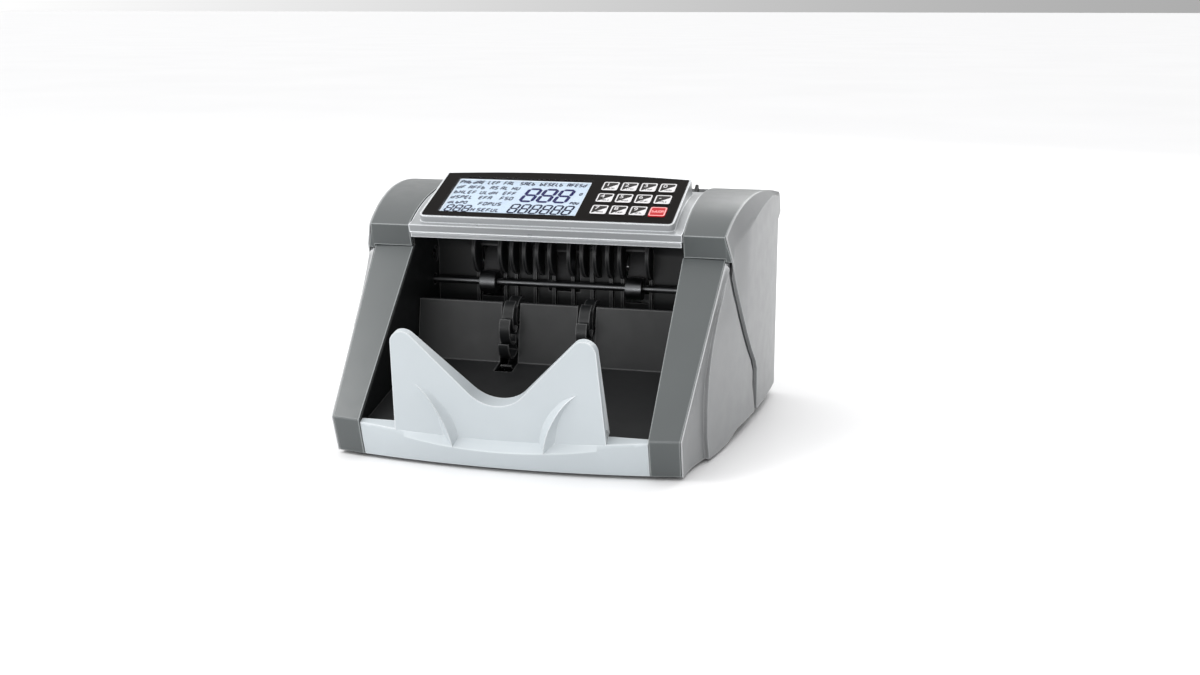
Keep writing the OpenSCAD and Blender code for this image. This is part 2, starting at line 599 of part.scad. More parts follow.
impeller_x = [24, 32];
module stacker_shaft() {
    color("#c8ccd0") {
        bar(stacker_c, shaft_r, -pulley_x - pulley_w, plate_x + 4);
        both_sides() bar(stacker_c, 8, impeller_x[0] - 2, impeller_x[1] + 2);
        pulley(stacker_c, stacker_pulley_r, -pulley_x - pulley_w, -pulley_x);
    }
}
// Toothless belt pulley with a flange on each side
module pulley(c, r, x0, x1) {
    flange = 1;
    bar(c, r, x0, x1);
    for (x = [x0, x1 - flange]) bar(c, r + 1.8, x, x + flange);
}
module impeller_wheels() {
    finger_r = 13;
    color("#2d3033") both_sides() {
        ring(stacker_c, 11, 8, impeller_x[0], impeller_x[1]);
        across(impeller_x[0], impeller_x[1]) translate(stacker_c)
            for (i = [0:impeller_fingers - 1]) rotate(i * 360 / impeller_fingers) difference() {
                translate([impeller_r - finger_r, 0]) circle(r = finger_r);
                translate([impeller_r - finger_r, 0]) circle(r = finger_r - 1.4);
                translate([-50, -100]) square([100, 100]);
                circle(r = 9.5);
            }
    }
}
module drive_shaft() {
    color("#c8ccd0") {
        bar(drive_c, shaft_r, -plate_x - 4, feed_pulley_x + feed_pulley_w);
        both_sides() bar(drive_c, drive_r - 5, 48, 62);
        bar(drive_c, drive_r - 6, -10, 10);
        pulley(drive_c, main_pulley_r, pulley_x, pulley_x + pulley_w);
        pulley(drive_c, feed_pulley_r, feed_pulley_x, feed_pulley_x + feed_pulley_w);
    }
}
module drive_rollers() {
    color("#2b2b2b") {
        both_sides() ring(drive_c, drive_r, drive_r - 5, 48, 62);
        ring(drive_c, drive_r - 2, drive_r - 6, -10, 10);
    }
}
module pinch_roller_shaft() {
    color("#c8ccd0") {
        bar(pinch_c, 2.5, -plate_x - 4, plate_x + 4);
        both_sides() bar(pinch_c, pinch_r, 49, 61);
    }
}
module feed_shaft() {
    color("#c8ccd0") {
        bar(feed_c, shaft_r, -plate_x - 4, feed_pulley_x + feed_pulley_w);
        both_sides() bar(feed_c, feed_r - 4, 18, 34);
        pulley(feed_c, feed_pulley_r, feed_pulley_x, feed_pulley_x + feed_pulley_w);
    }
}
module feed_rollers() {
    color("#2b2b2b") both_sides() ring(feed_c, feed_r, feed_r - 4, 18, 34);
}
module main_motor() {
    color("#8f9497") difference() {
        bar(motor_c, 19, 40, plate_x);
        bar(motor_c, 2.6, 90, plate_x + 1);
    }
}
module main_motor_pulley() {
    color("#c8ccd0") {
        bar(motor_c, 2.5, 91, pulley_x + pulley_w);
        pulley(motor_c, motor_pulley_r, pulley_x, pulley_x + pulley_w);
    }
}
module stacker_motor() {
    color("#8f9497") difference() {
        bar(stacker_motor_c, 15, -plate_x, -56);
        bar(stacker_motor_c, 2.1, -plate_x - 1, -90);
    }
}
module stacker_motor_pulley() {
    color("#c8ccd0") {
        bar(stacker_motor_c, 2, -pulley_x - pulley_w, -91);
        pulley(stacker_motor_c, stacker_motor_pulley_r, -pulley_x - pulley_w, -pulley_x);
    }
}
// Closed line around two circles: c are centres, r the radii it runs on
function belt_line(c1, r1, c2, r2) =
    let (d = norm(c2 - c1), turn = atan2(c2[1] - c1[1], c2[0] - c1[0]), lead = acos((r1 - r2) / d), n = 28)
    concat([for (i = [0:n]) let (a = turn + lead + (360 - 2 * lead) * i / n) c1 + r1 * [cos(a), sin(a)]],
           [for (i = [0:n]) let (a = turn - lead + 2 * lead * i / n) c2 + r2 * [cos(a), sin(a)]]);
module belt(c1, r1, c2, r2, x0, x1) {
    across(x0, x1) difference() {
        polygon(belt_line(c1, r1 + belt_gap + belt_t, c2, r2 + belt_gap + belt_t));
        polygon(belt_line(c1, r1 + belt_gap, c2, r2 + belt_gap));
    }
}
module drive_belts() {
    color("#1d1d1d") {
        belt(drive_c, main_pulley_r, motor_c, motor_pulley_r,
             pulley_x + belt_side, pulley_x + pulley_w - belt_side);
        belt(drive_c, feed_pulley_r, feed_c, feed_pulley_r,
             feed_pulley_x + belt_side, feed_pulley_x + feed_pulley_w - belt_side);
        belt(stacker_c, stacker_pulley_r, stacker_motor_c, stacker_motor_pulley_r,
             -pulley_x - pulley_w + belt_side, -pulley_x - belt_side);
    }
}

// ---- hopper -------------------------------------------------------------

knob_y = 53.6;
module friction_pad() {
    color("#3b2f28") difference() {
        union() {
            box(-9, 9, 49, 56.6, 124, 150);
            box(-12, 12, 44, 57, 120.8, 124.5);
        }
        translate([0, knob_y, 126]) cylinder(r = 2.1, h = 30);
    }
}
module gap_knob() {
    color("#25282a") {
        translate([0, knob_y, 163.1]) cylinder(r = 5.2, h = 6.5);
        translate([0, knob_y, 128]) cylinder(r = 2, h = 36);
        for (i = [0:11]) rotate_about_knob(i * 30) translate([4.9, -0.7, 0]) cube([1, 1.4, 5.5]);
    }
}
module rotate_about_knob(a) {
    translate([0, knob_y, 163.6]) rotate(a) children();
}

hopper_low = [67, 117.3];
hopper_high = [rear_y - gap, 150.8];
hopper_angle = atan2(hopper_high[1] - hopper_low[1], hopper_high[0] - hopper_low[0]);
hopper_len = norm(hopper_high - hopper_low);
// Frame of the hopper plate: x across, y up the plate, z square to it
module on_hopper() {
    translate([0, hopper_low[0], hopper_low[1]]) rotate([hopper_angle, 0, 0]) children();
}
module hopper_plate() {
    color("#33373a") on_hopper() difference() {
        translate([-half_w + 0.3, 0, -2.5]) cube([2 * half_w - 0.6, hopper_len - 1.6, 2.5]);
        both_sides() {
            translate([15.5, 2, -4]) cube([21, 28, 6]);
            translate([guide_x - 22, 38, -4]) cube([26, 5, 6]);
        }
    }
}
// Sliding note guide with a tongue through the plate's slot
module hopper_guide() {
    color("#33373a") on_hopper() {
        translate([guide_x, 6, 0.3]) cube([2.5, 46, guide_h]);
        translate([guide_x, 6, 0.3]) cube([9, 46, 2]);
        translate([guide_x, 38.4, -4.5]) cube([3.6, 4.2, 5]);
    }
}

// ---- electrics ----------------------------------------------------------

module main_board() {
    color("#1f5c3a") {
        box(2, 92, 34, 106, 16, 17.6);
        for (x = [8, 86]) for (y = [38, 102]) translate([x, y, rear_z + 3]) cylinder(r = 3, h = 5.6);
    }
    color("#30343a") {
        box(14, 40, 44, 60, 17.5, 21);
        box(52, 84, 40, 48, 17.5, 28);
        for (i = [0:3]) translate([20 + 12 * i, 78, 17.5]) cylinder(r = 4.5, h = 14);
    }
}
module transformer() {
    color("#4b4d50") box(-58, -8, 72, 106, rear_z + 3, 50);
    color("#b5713a") box(-50, -16, 66, 112, rear_z + 7, 44);
}
inlet_at = [-80, 30];
module at_inlet() {
    translate([inlet_at[0], 0, inlet_at[1]]) children();
}
module power_inlet() {
    color("#1c1d1f") difference() {
        union() {
            at_inlet() box(-16.5, 16.5, rear_y + 3, rear_y + 5.4, -13, 13);
            at_inlet() box(-13.6, 13.6, rear_y - 15, rear_y + 3.5, -10.6, 10.6);
        }
        at_inlet() box(-12, 12, rear_y - 12, rear_y + 6, -8, 8);
    }
    color("#c8ccd0") for (pin = [[-7, -2], [0, 3], [7, -2]])
        at_inlet() translate([pin[0], 0, pin[1]]) box(-1, 1, rear_y - 12.5, rear_y + 1, -2, 2);
}
switch_at = [-52, 30];
rocker_c = [rear_y + 0.5, 30];
module power_rocker() {
    color("#b3262b") translate([switch_at[0], 0, 0]) {
        across(-5.6, 5.6) polygon([[rear_y - 3, 22], [rear_y + 4.2, 21.2], [rear_y + 3.2, 30],
            [rear_y + 6.2, 38.4], [rear_y - 3, 38]]);
        bar(rocker_c, 1.5, -6.9, 6.9);
    }
}
socket_at = [58, 27];
module display_socket() {
    color("#1c1d1f") translate([socket_at[0], rear_y - 12, socket_at[1]]) rotate([-90, 0, 0]) difference() {
        union() {
            cylinder(r = 4, h = 15.5);
            translate([0, 0, 15]) cylinder(r = 5.4, h = 1.8);
            translate([-5.5, -5.5, 0]) cube([11, 11, 11.8]);
        }
        translate([0, 0, 2.8]) cylinder(r = 1.8, h = 16);
    }
}
module feet() {
    color("#1d1d1d") both_sides() {
        translate([foot_at[0][0], foot_at[0][1], 0]) cylinder(r = 9, h = foot_h);
        translate([foot_at[1][0], foot_at[1][1], 0]) cylinder(r = 9, h = rear_z);
    }
}

// ---- the nodes ----------------------------------------------------------

base_pan();
mirror([1, 0, 0]) pillar();  // front_pillar_left
pillar();  // front_pillar_right
mirror([1, 0, 0]) hood_cap();  // hood_cap_left
hood_cap();  // hood_cap_right
mirror([1, 0, 0]) front_side();  // front_side_left
front_side();  // front_side_right
mirror([1, 0, 0]) rear_side();  // rear_side_left
rear_side();  // rear_side_right
both_sides() seam_trim();  // seam_trims
rear_cover();
rear_door();
control_bezel();
display_overlay();
lcd_window();
lcd_module();
control_board();
stacker_plate();
stacker_tray();
mirror([1, 0, 0]) inner_wall();  // inner_wall_left
inner_wall();  // inner_wall_right
note_guide_comb();
mirror([1, 0, 0]) mech_plate();  // mech_plate_left
mech_plate();  // mech_plate_right
shaft_bearings();
stacker_shaft();
impeller_wheels();
drive_shaft();
drive_rollers();
pinch_roller_shaft();
feed_shaft();
feed_rollers();
main_motor();
main_motor_pulley();
stacker_motor();
stacker_motor_pulley();
drive_belts();
friction_pad();
gap_knob();
hopper_plate();
mirror([1, 0, 0]) hopper_guide();  // hopper_guide_left
hopper_guide();  // hopper_guide_right
main_board();
transformer();
power_inlet();
power_rocker();
display_socket();
feet();
for (key = KEYS) key_cap(key);
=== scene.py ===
"""Looks of the banknote counting machine: finishes, fine parts, studio and camera.

Lengths are millimetres in the part's frame, with +X right, +Y back and +Z up, except where a comment
says metres.
"""
import json
import math
import random

import bmesh
import bpy
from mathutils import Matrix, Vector


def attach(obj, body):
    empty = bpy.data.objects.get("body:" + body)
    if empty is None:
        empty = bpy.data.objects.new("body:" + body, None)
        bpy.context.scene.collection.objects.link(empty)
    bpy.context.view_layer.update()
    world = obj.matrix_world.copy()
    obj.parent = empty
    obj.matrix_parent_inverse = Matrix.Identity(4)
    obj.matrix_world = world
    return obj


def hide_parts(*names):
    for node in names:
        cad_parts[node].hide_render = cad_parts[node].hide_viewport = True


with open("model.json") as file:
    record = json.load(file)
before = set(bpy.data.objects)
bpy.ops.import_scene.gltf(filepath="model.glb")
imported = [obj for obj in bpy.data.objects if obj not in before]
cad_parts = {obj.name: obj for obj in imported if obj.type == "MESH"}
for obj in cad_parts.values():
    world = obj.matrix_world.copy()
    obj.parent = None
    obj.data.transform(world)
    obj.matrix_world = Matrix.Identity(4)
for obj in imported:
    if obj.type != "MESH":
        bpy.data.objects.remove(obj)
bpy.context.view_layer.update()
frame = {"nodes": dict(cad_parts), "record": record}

MM = 0.001
# The sloping control panel and its keys; u runs across it and v up its slope
PANEL_ANGLE = math.radians(20.6)
PANEL_ORIGIN = (0.0, -18.5, 150.8)
KEY_ORIGIN = (36.2, 50.0)
KEY_PITCH = (13.87, 17.4)
KEY_SIZE = (11.9, 12.9)
KEY_TOP = 1.0                  # how far the key caps stand out of the panel
KEYS = [
    ["key_1", "key_2", "key_3", "key_0"],
    ["key_4", "key_5", "key_6", "key_minus"],
    ["key_7", "key_8", "key_9", "key_start"],
]
# The display's marks lie between these heights, just under the window
LCD_LOW, LCD_HIGH = -1.385, -1.26
LCD_SLANT = 0.16
# The stacker plate
HALF_W = 98.0                  # half the clear width of the pocket
PLATE_W = 71.7                 # half the width of the horned plate at its foot
PLATE_LEAN = 0.199             # how far it leans forward for each millimetre of height
PLATE_Y, PLATE_Z = -122.9, 26  # a point that its front face passes through
# Finishes: reaches and depths in metres, as the shader nodes take them
EDGE_HIGHLIGHT_REACH = 0.0013            # how far the painted highlight on edges reaches
CORNER_REACH = 0.016           # how far a corner's shade spreads
GRAIN_DEPTH = 0.00012


# ---- finishes -----------------------------------------------------------

class Finish:
    """A node material with a Principled shader and helpers that wire procedural detail into it."""

    def __init__(self, name):
        self.material = bpy.data.materials.new(name)
        self.material.use_nodes = True
        self.tree = self.material.node_tree
        self.tree.nodes.clear()
        self.output = self.add("ShaderNodeOutputMaterial")
        self.shader = self.add("ShaderNodeBsdfPrincipled")
        self.join(self.shader.outputs[0], self.output.inputs[0])
        self.place = self.add("ShaderNodeTexCoord").outputs["Object"]

    def add(self, kind, **settings):
        node = self.tree.nodes.new(kind)
        for key, value in settings.items():
            setattr(node, key, value)
        return node

    def join(self, source, target):
        self.tree.links.new(source, target)

    def noise(self, scale, detail=3.0, stretch=None):
        """Noise of so many waves per metre; stretch squeezes it along an axis for brushed looks."""
        node = self.add("ShaderNodeTexNoise")
        node.inputs["Scale"].default_value = scale
        node.inputs["Detail"].default_value = detail
        place = self.place
        if stretch:
            mapping = self.add("ShaderNodeMapping")
            mapping.inputs["Scale"].default_value = stretch
            self.join(self.place, mapping.inputs["Vector"])
            place = mapping.outputs[0]
        self.join(place, node.inputs["Vector"])
        return node.outputs["Fac"]

    def spread(self, source, low, high, start=0.3, end=0.7):
        """Maps start to low and end to high, and holds the ends beyond them."""
        node = self.add("ShaderNodeMapRange")
        node.inputs["From Min"].default_value = start
        node.inputs["From Max"].default_value = end
        node.inputs["To Min"].default_value = low
        node.inputs["To Max"].default_value = high
        self.join(source, node.inputs["Value"])
        return node.outputs[0]

    def mix(self, factor, first, second):
        """Blend of two colours; each argument is a value or another node's output."""
        node = self.add("ShaderNodeMix", data_type="RGBA")
        for value, socket in ((factor, 0), (first, 6), (second, 7)):
            if isinstance(value, (int, float)):
                node.inputs[socket].default_value = value
            elif isinstance(value, (tuple, list)):
                node.inputs[socket].default_value = (*value[:3], 1.0)
            else:
                self.join(value, node.inputs[socket])
        return node.outputs[2]

    def edges(self, reach):
        """1 on edges that stand out or fold in within reach metres, 0 on plain faces."""
        sharp, plain_face = 0.965, 0.999
        round_off = self.add("ShaderNodeBevel", samples=6)
        round_off.inputs["Radius"].default_value = reach
        plain = self.add("ShaderNodeNewGeometry").outputs["Normal"]
        dot = self.add("ShaderNodeVectorMath", operation="DOT_PRODUCT")
        self.join(round_off.outputs[0], dot.inputs[0])
        self.join(plain, dot.inputs[1])
        return self.spread(dot.outputs["Value"], 1, 0, sharp, plain_face)

    def hollows(self, reach):
        """0 deep in corners and slots, 1 in the open."""
        shade_node = self.add("ShaderNodeAmbientOcclusion", samples=6, only_local=True)
        shade_node.inputs["Distance"].default_value = reach
        return shade_node.outputs["AO"]

    def bump(self, heights, distance):
        """heights is a list of (noise, strength); they stack into one normal."""
        normal = None
        for height, strength in heights:
            node = self.add("ShaderNodeBump")
            node.inputs["Strength"].default_value = strength
            node.inputs["Distance"].default_value = distance
            self.join(height, node.inputs["Height"])
            if normal is not None:
                self.join(normal, node.inputs["Normal"])
            normal = node.outputs[0]
        self.join(normal, self.shader.inputs["Normal"])

    def set(self, **values):
        for key, value in values.items():
            self.shader.inputs[key.replace("_", " ")].default_value = value


def shade(color, amount):
    """The colour made darker or lighter by a factor."""
    return tuple(min(1.0, channel * amount) for channel in color)


def plastic(name, color, rough=0.42, grain=0.10, grain_scale=2600, vary=0.05, gloss=0.5, metallic=0.0,
            painted_highlight=0.35, corner=0.0):
    """Moulded plastic: slow tone drift, fine spark texture, uneven gloss, painted highlights along edges,
    painted shade in corners.
    """
    finish = Finish(name)
    drift = finish.noise(14, 2)
    cloud = finish.noise(90, 5)
    fine = finish.noise(grain_scale, 2)
    base = finish.mix(finish.spread(drift, 0, 1), shade(color, 1 - vary), shade(color, 1 + vary))
    base = finish.mix(finish.spread(cloud, 0, 0.35), base, shade(color, 1 + 1.6 * vary))
    # Painted highlight: edges and folds are lightened towards a paler colour, as if they caught the light
    if painted_highlight:
        edge_highlight = finish.add("ShaderNodeMath", operation="MULTIPLY")
        edge_highlight.inputs[1].default_value = painted_highlight
        finish.join(finish.edges(EDGE_HIGHLIGHT_REACH), edge_highlight.inputs[0])
        pale = tuple(min(0.9, channel * 2.2 + 0.12) for channel in color)
        base = finish.mix(edge_highlight.outputs[0], base, pale)
    # Painted shade: the colour darkens deep in corners and slots
    if corner:
        depth = finish.spread(finish.hollows(CORNER_REACH), corner, 0, 0.35, 0.95)
        base = finish.mix(depth, base, shade(color, 0.16))
    finish.join(base, finish.shader.inputs["Base Color"])
    finish.join(finish.spread(cloud, rough - 0.03, rough + 0.04), finish.shader.inputs["Roughness"])
    finish.set(Metallic=metallic, Specular_IOR_Level=gloss)
    finish.bump([(fine, grain), (cloud, grain * 0.12)], GRAIN_DEPTH)
    return finish.material


def ink(name, color, vary, gloss=0.5, rough=0.5):
    """Flat printed colour."""
    return plastic(name, color, rough=rough, grain=0.02, grain_scale=2400, vary=vary, gloss=gloss, painted_highlight=0)


def metal(name, color, rough=0.28, stretch=(1, 40, 40)):
    """Turned or rolled metal: fine lines along one axis and a patchy polish."""
    finish = Finish(name)
    lines = finish.noise(60, 4, stretch)
    patch = finish.noise(45, 4)
    base = finish.mix(finish.spread(lines, 0, 1), shade(color, 0.9), shade(color, 1.1))
    finish.join(base, finish.shader.inputs["Base Color"])
    finish.join(finish.spread(patch, rough - 0.08, rough + 0.12), finish.shader.inputs["Roughness"])
    finish.set(Metallic=1.0)
    finish.bump([(lines, 0.15)], 0.00005)
    return finish.material


def rubber(name, color):
    """Matt rubber with a rough skin and patches of dust."""
    finish = Finish(name)
    skin = finish.noise(700, 3)
    dust = finish.noise(35, 6)
    base = finish.mix(finish.spread(dust, 0, 0.5, 0.45, 0.75), color, shade(color, 2.6))
    finish.join(base, finish.shader.inputs["Base Color"])
    finish.join(finish.spread(dust, 0.67, 0.85), finish.shader.inputs["Roughness"])
    finish.bump([(skin, 0.35)], 0.0002)
    return finish.material


def circuit_board(name):
    """Green solder mask with copper tracks and pads glinting under it."""
    finish = Finish(name)
    cells = finish.add("ShaderNodeTexVoronoi", feature="DISTANCE_TO_EDGE", distance="CHEBYCHEV")
    cells.inputs["Scale"].default_value = 230
    finish.join(finish.place, cells.inputs["Vector"])
    tracks = finish.spread(cells.outputs[0], 1, 0, 0.02, 0.06)
    tone = finish.noise(40, 4)
    mask = finish.mix(finish.spread(tone, 0, 1), (0.008, 0.075, 0.03), (0.014, 0.11, 0.045))
    base = finish.mix(tracks, mask, (0.05, 0.24, 0.08))
    finish.join(base, finish.shader.inputs["Base Color"])
    finish.join(finish.spread(tone, 0.25, 0.4), finish.shader.inputs["Roughness"])
    finish.bump([(tracks, 0.2)], 0.0001)
    return finish.material


def backlit(name, color, glow):
    """Lit display layer: an even glow with a slow drift and a fine weave."""
    finish = Finish(name)
    drift = finish.noise(9, 1)
    weave = finish.noise(1500, 2)
    tone = finish.mix(finish.spread(drift, 0, 1), shade(color, 0.96), shade(color, 1.04))
    tone = finish.mix(finish.spread(weave, 0, 0.12), tone, (1, 1, 1))
    finish.join(tone, finish.shader.inputs["Base Color"])
    finish.join(tone, finish.shader.inputs["Emission Color"])
    finish.set(Roughness=0.5, Emission_Strength=glow)
    return finish.material


def clear_window(name):
    """Thin clear plastic: the view straight through, and a soft gloss that grows at grazing angles."""
    finish = Finish(name)
    finish.tree.nodes.remove(finish.shader)
    through = finish.add("ShaderNodeBsdfTransparent")
    gloss = finish.add("ShaderNodeBsdfGlossy")
    facing = finish.add("ShaderNodeLayerWeight")
    facing.inputs["Blend"].default_value = 0.25
    mixer = finish.add("ShaderNodeMixShader")
    smear = finish.noise(60, 5)
    tint = finish.mix(finish.spread(smear, 0, 0.4), (0.97, 0.985, 1.0), (0.93, 0.95, 0.98))
    finish.join(finish.spread(smear, 0.12, 0.2), gloss.inputs["Roughness"])
    finish.join(tint, through.inputs["Color"])
    share = finish.spread(facing.outputs["Facing"], 0.008, 0.25, 0.3, 1.0)
    finish.join(share, mixer.inputs[0])
    finish.join(through.outputs[0], mixer.inputs[1])
    finish.join(gloss.outputs[0], mixer.inputs[2])
    finish.join(mixer.outputs[0], finish.output.inputs[0])
    return finish.material


FINISHES = {
    "dark_shell": plastic("dark_shell_looks", (0.060, 0.067, 0.068), rough=0.36, grain=0.08, painted_highlight=1.0),
    "light_shell": plastic("light_shell_looks", (0.205, 0.210, 0.214), rough=0.38, grain=0.07,
                           vary=0.03, painted_highlight=0.4, corner=0.9),
    "silver_plastic": plastic("silver_looks", (0.270, 0.280, 0.289), rough=0.30, grain=0.04,
                              grain_scale=3800, vary=0.02, metallic=0.2, painted_highlight=1.0),
    "pale_plastic": plastic("pale_looks", (0.382, 0.416, 0.436), grain=0.05, vary=0.02,
                            painted_highlight=0.25, corner=0.95),
    "seam_grey": plastic("seam_looks", (0.050, 0.053, 0.056), rough=0.55, grain=0.12),
    "black_gloss": plastic("panel_looks", (0.0035, 0.0026, 0.0022), rough=0.30, grain=0.02,
                           grain_scale=1400, vary=0.10, gloss=0.02, painted_highlight=0.1),
    "black_plastic": plastic("inner_black_looks", (0.0075, 0.008, 0.0085), grain=0.16,
                             grain_scale=1900, vary=0.12, gloss=0.25, painted_highlight=0.5),
    "tray_grey": plastic("tray_looks", (0.010, 0.0105, 0.011), rough=0.5, grain=0.14,
                         grain_scale=1700, vary=0.08, gloss=0.3, painted_highlight=0.6),
    "clear_window": clear_window("window_looks"),
    "lcd": backlit("lcd_looks", (0.375, 0.435, 0.495), glow=0.26),
    "board_green": circuit_board("board_looks"),
    "key_black": plastic("key_looks", (0.014, 0.012, 0.011), rough=0.34, grain=0.03,
                         grain_scale=1500, vary=0.10, gloss=0.08, painted_highlight=0),
    "key_red": plastic("red_key_looks", (0.350, 0.006, 0.010), rough=0.34, grain=0.03,
                       grain_scale=1500, vary=0.08, gloss=0.12, painted_highlight=0),
    "switch_red": plastic("rocker_looks", (0.460, 0.012, 0.016), rough=0.3, grain=0.03,
                          grain_scale=1500, vary=0.06, painted_highlight=0.2),
    "steel": metal("steel_looks", (0.50, 0.51, 0.52)),
    "brass_bush": metal("bush_looks", (0.62, 0.44, 0.20), rough=0.35),
    "motor_can": metal("motor_looks", (0.36, 0.37, 0.38), rough=0.34, stretch=(40, 1, 1)),
    "rubber": rubber("rubber_looks", (0.016, 0.016, 0.017)),
}
WHITE_PRINT = ink("white_print_looks", (0.55, 0.54, 0.55), vary=0.03)
RIM_WHITE = backlit("rim_looks", (0.70, 0.72, 0.74), glow=0.35)
RED_PRINT = ink("red_print_looks", (0.68, 0.28, 0.28), vary=0.03)
DARK_PRINT = ink("dark_print_looks", (0.030, 0.028, 0.030), vary=0.08)
LCD_INK = ink("lcd_ink_looks", (0.010, 0.008, 0.070), vary=0.05, gloss=0.05, rough=0.6)
LCD_FAINT = ink("lcd_faint_looks", (0.006, 0.007, 0.030), vary=0.05, gloss=0.05, rough=0.6)
SCREW = metal("screw_looks", (0.30, 0.31, 0.32), rough=0.35, stretch=(1, 1, 1))
BLACKENED = metal("blackened_looks", (0.085, 0.087, 0.090), rough=0.38)
BLACKENED_NODES = ("stacker_shaft", "pinch_roller_shaft")


# ---- the CAD nodes: soft edges and finishes ------------------------------

def clean_shading():
    """Node group that welds the imported surface and lets its normals be worked out afresh."""
    group = bpy.data.node_groups.new("clean_shading", "GeometryNodeTree")
    group.interface.new_socket("Geometry", in_out="INPUT", socket_type="NodeSocketGeometry")
    group.interface.new_socket("Geometry", in_out="OUTPUT", socket_type="NodeSocketGeometry")
    start = group.nodes.new("NodeGroupInput")
    weld = group.nodes.new("GeometryNodeMergeByDistance")
    weld.inputs["Distance"].default_value = 0.00001
    forget = group.nodes.new("GeometryNodeRemoveAttribute")
    forget.inputs["Name"].default_value = "custom_normal"
    smooth = group.nodes.new("GeometryNodeSetShadeSmooth")
    end = group.nodes.new("NodeGroupOutput")
    chain = [start, weld, forget, smooth, end]
    for source, target in zip(chain, chain[1:]):
        group.links.new(source.outputs[0], target.inputs[0])
    return group


CLEAN = clean_shading()


def soften(obj, width, segments=2, angle=30, from_cad=True):
    """Gives an object its moulded edge radius by modifiers, so that its mesh stays as it is."""
    if from_cad:
        clean = obj.modifiers.new("clean", "NODES")
        clean.node_group = CLEAN
        flat = obj.modifiers.new("flat", "DECIMATE")
        flat.decimate_type = "DISSOLVE"
        flat.angle_limit = math.radians(0.4)
    bevel = obj.modifiers.new("edges", "BEVEL")
    bevel.width = width * MM
    bevel.segments = segments
    bevel.limit_method = "ANGLE"
    bevel.angle_limit = math.radians(angle)
    bevel.use_clamp_overlap = True
    bevel.miter_outer = "MITER_ARC"
    weighted = obj.modifiers.new("normals", "WEIGHTED_NORMAL")
    weighted.weight = 80
    weighted.keep_sharp = False


KEY_RADIUS, PLAIN_RADIUS = 0.25, 0.3
EDGE_RADIUS = {
    "front_pillar_left": 0.7, "front_pillar_right": 0.7, "hood_cap_left": 0.6, "hood_cap_right": 0.6,
    "front_side_left": 0.35, "front_side_right": 0.35, "rear_side_left": 0.5, "rear_side_right": 0.5,
    "rear_cover": 0.6, "rear_door": 0.6, "control_bezel": 0.7, "display_overlay": 0.12, "lcd_window": 0.1,
    "stacker_tray": 0.5, "gap_knob": 0.4, "hopper_plate": 0.5, "hopper_guide_left": 0.5,
    "hopper_guide_right": 0.5, "power_rocker": 0.5, "power_inlet": 0.4, "feet": 0.8,
    "friction_pad": 0.6, "transformer": 0.8, "drive_rollers": 0.5, "feed_rollers": 0.5,
}
slot_of = {row["node"]: row["material_slot"] for row in frame["record"]["subparts"]}
for name, node in frame["nodes"].items():
    node.data.materials.clear()
    node.data.materials.append(BLACKENED if name in BLACKENED_NODES else FINISHES[slot_of[name]])
    soften(node, KEY_RADIUS if name.startswith("key_") else EDGE_RADIUS.get(name, PLAIN_RADIUS))


# ---- building pieces ----------------------------------------------------

def piece(name, body, materials, verts, faces, face_materials=None):
    """A mesh from points in millimetres, riding on a body and taking the finishes it is given."""
    mesh = bpy.data.meshes.new(name)
    mesh.from_pydata([Vector(v) * MM for v in verts], [], faces)
    for material in materials:
        mesh.materials.append(material)
    if face_materials:
        mesh.polygons.foreach_set("material_index", face_materials)
    work = bmesh.new()
    work.from_mesh(mesh)
    bmesh.ops.recalc_face_normals(work, faces=work.faces)
    work.to_mesh(mesh)
    work.free()
    obj = bpy.data.objects.new(name, mesh)
    bpy.context.scene.collection.objects.link(obj)
    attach(obj, body)
    return obj


class Shapes:
    """Collects prisms, each with a material index, into one mesh."""

    def __init__(self, to_space):
        self.to_space = to_space
        self.verts, self.faces, self.kinds = [], [], []

    def prism(self, outline, low, high, kind=0):
        """A flat shape between two heights; outline is a list of (u, v)."""
        first = len(self.verts)
        count = len(outline)
        self.verts += [self.to_space(u, v, low) for u, v in outline]
        self.verts += [self.to_space(u, v, high) for u, v in outline]
        self.faces.append([first + i for i in range(count)][::-1])
        self.faces.append([first + count + i for i in range(count)])
        for i in range(count):
            j = (i + 1) % count
            self.faces.append([first + i, first + j, first + count + j, first + count + i])
        self.kinds += [kind] * (count + 2)

    def ring(self, outer, inner, low, high, kind=0):
        """A flat frame between two outlines with the same number of points."""
        first = len(self.verts)
        count = len(outer)
        for height in (low, high):
            self.verts += [self.to_space(u, v, height) for u, v in outer]
            self.verts += [self.to_space(u, v, height) for u, v in inner]
        for i in range(count):
            j = (i + 1) % count
            oi, oj, ii, ij = first + i, first + j, first + count + i, first + count + j
            up = 2 * count
            self.faces += [[oi, ii, ij, oj], [oi + up, oj + up, ij + up, ii + up],
                           [oi, oj, oj + up, oi + up], [ii, ii + up, ij + up, ij]]
            self.kinds += [kind] * 4

    def build(self, name, body, materials):
        return piece(name, body, materials, self.verts, self.faces, self.kinds)


def across(y, z, x):
    """Turns an outline seen from the side, drawn as (y, z), into points at x."""
    return (x, y, z)


def on_panel(u, v, n):
    """Point on the sloping control panel: u across, v up the slope, n out of it."""
    c, s = math.cos(PANEL_ANGLE), math.sin(PANEL_ANGLE)
    return (PANEL_ORIGIN[0] + u, PANEL_ORIGIN[1] + v * c - n * s, PANEL_ORIGIN[2] + v * s + n * c)


def rounded(left, right, low, high, radius, steps=5):
    """Outline of a rectangle with round corners."""
    corners = [(right - radius, high - radius, 0), (left + radius, high - radius, 90),
               (left + radius, low + radius, 180), (right - radius, low + radius, 270)]
    return [(x + radius * math.cos(math.radians(turn + 90 * k / steps)),
             y + radius * math.sin(math.radians(turn + 90 * k / steps)))
            for x, y, turn in corners for k in range(steps + 1)]


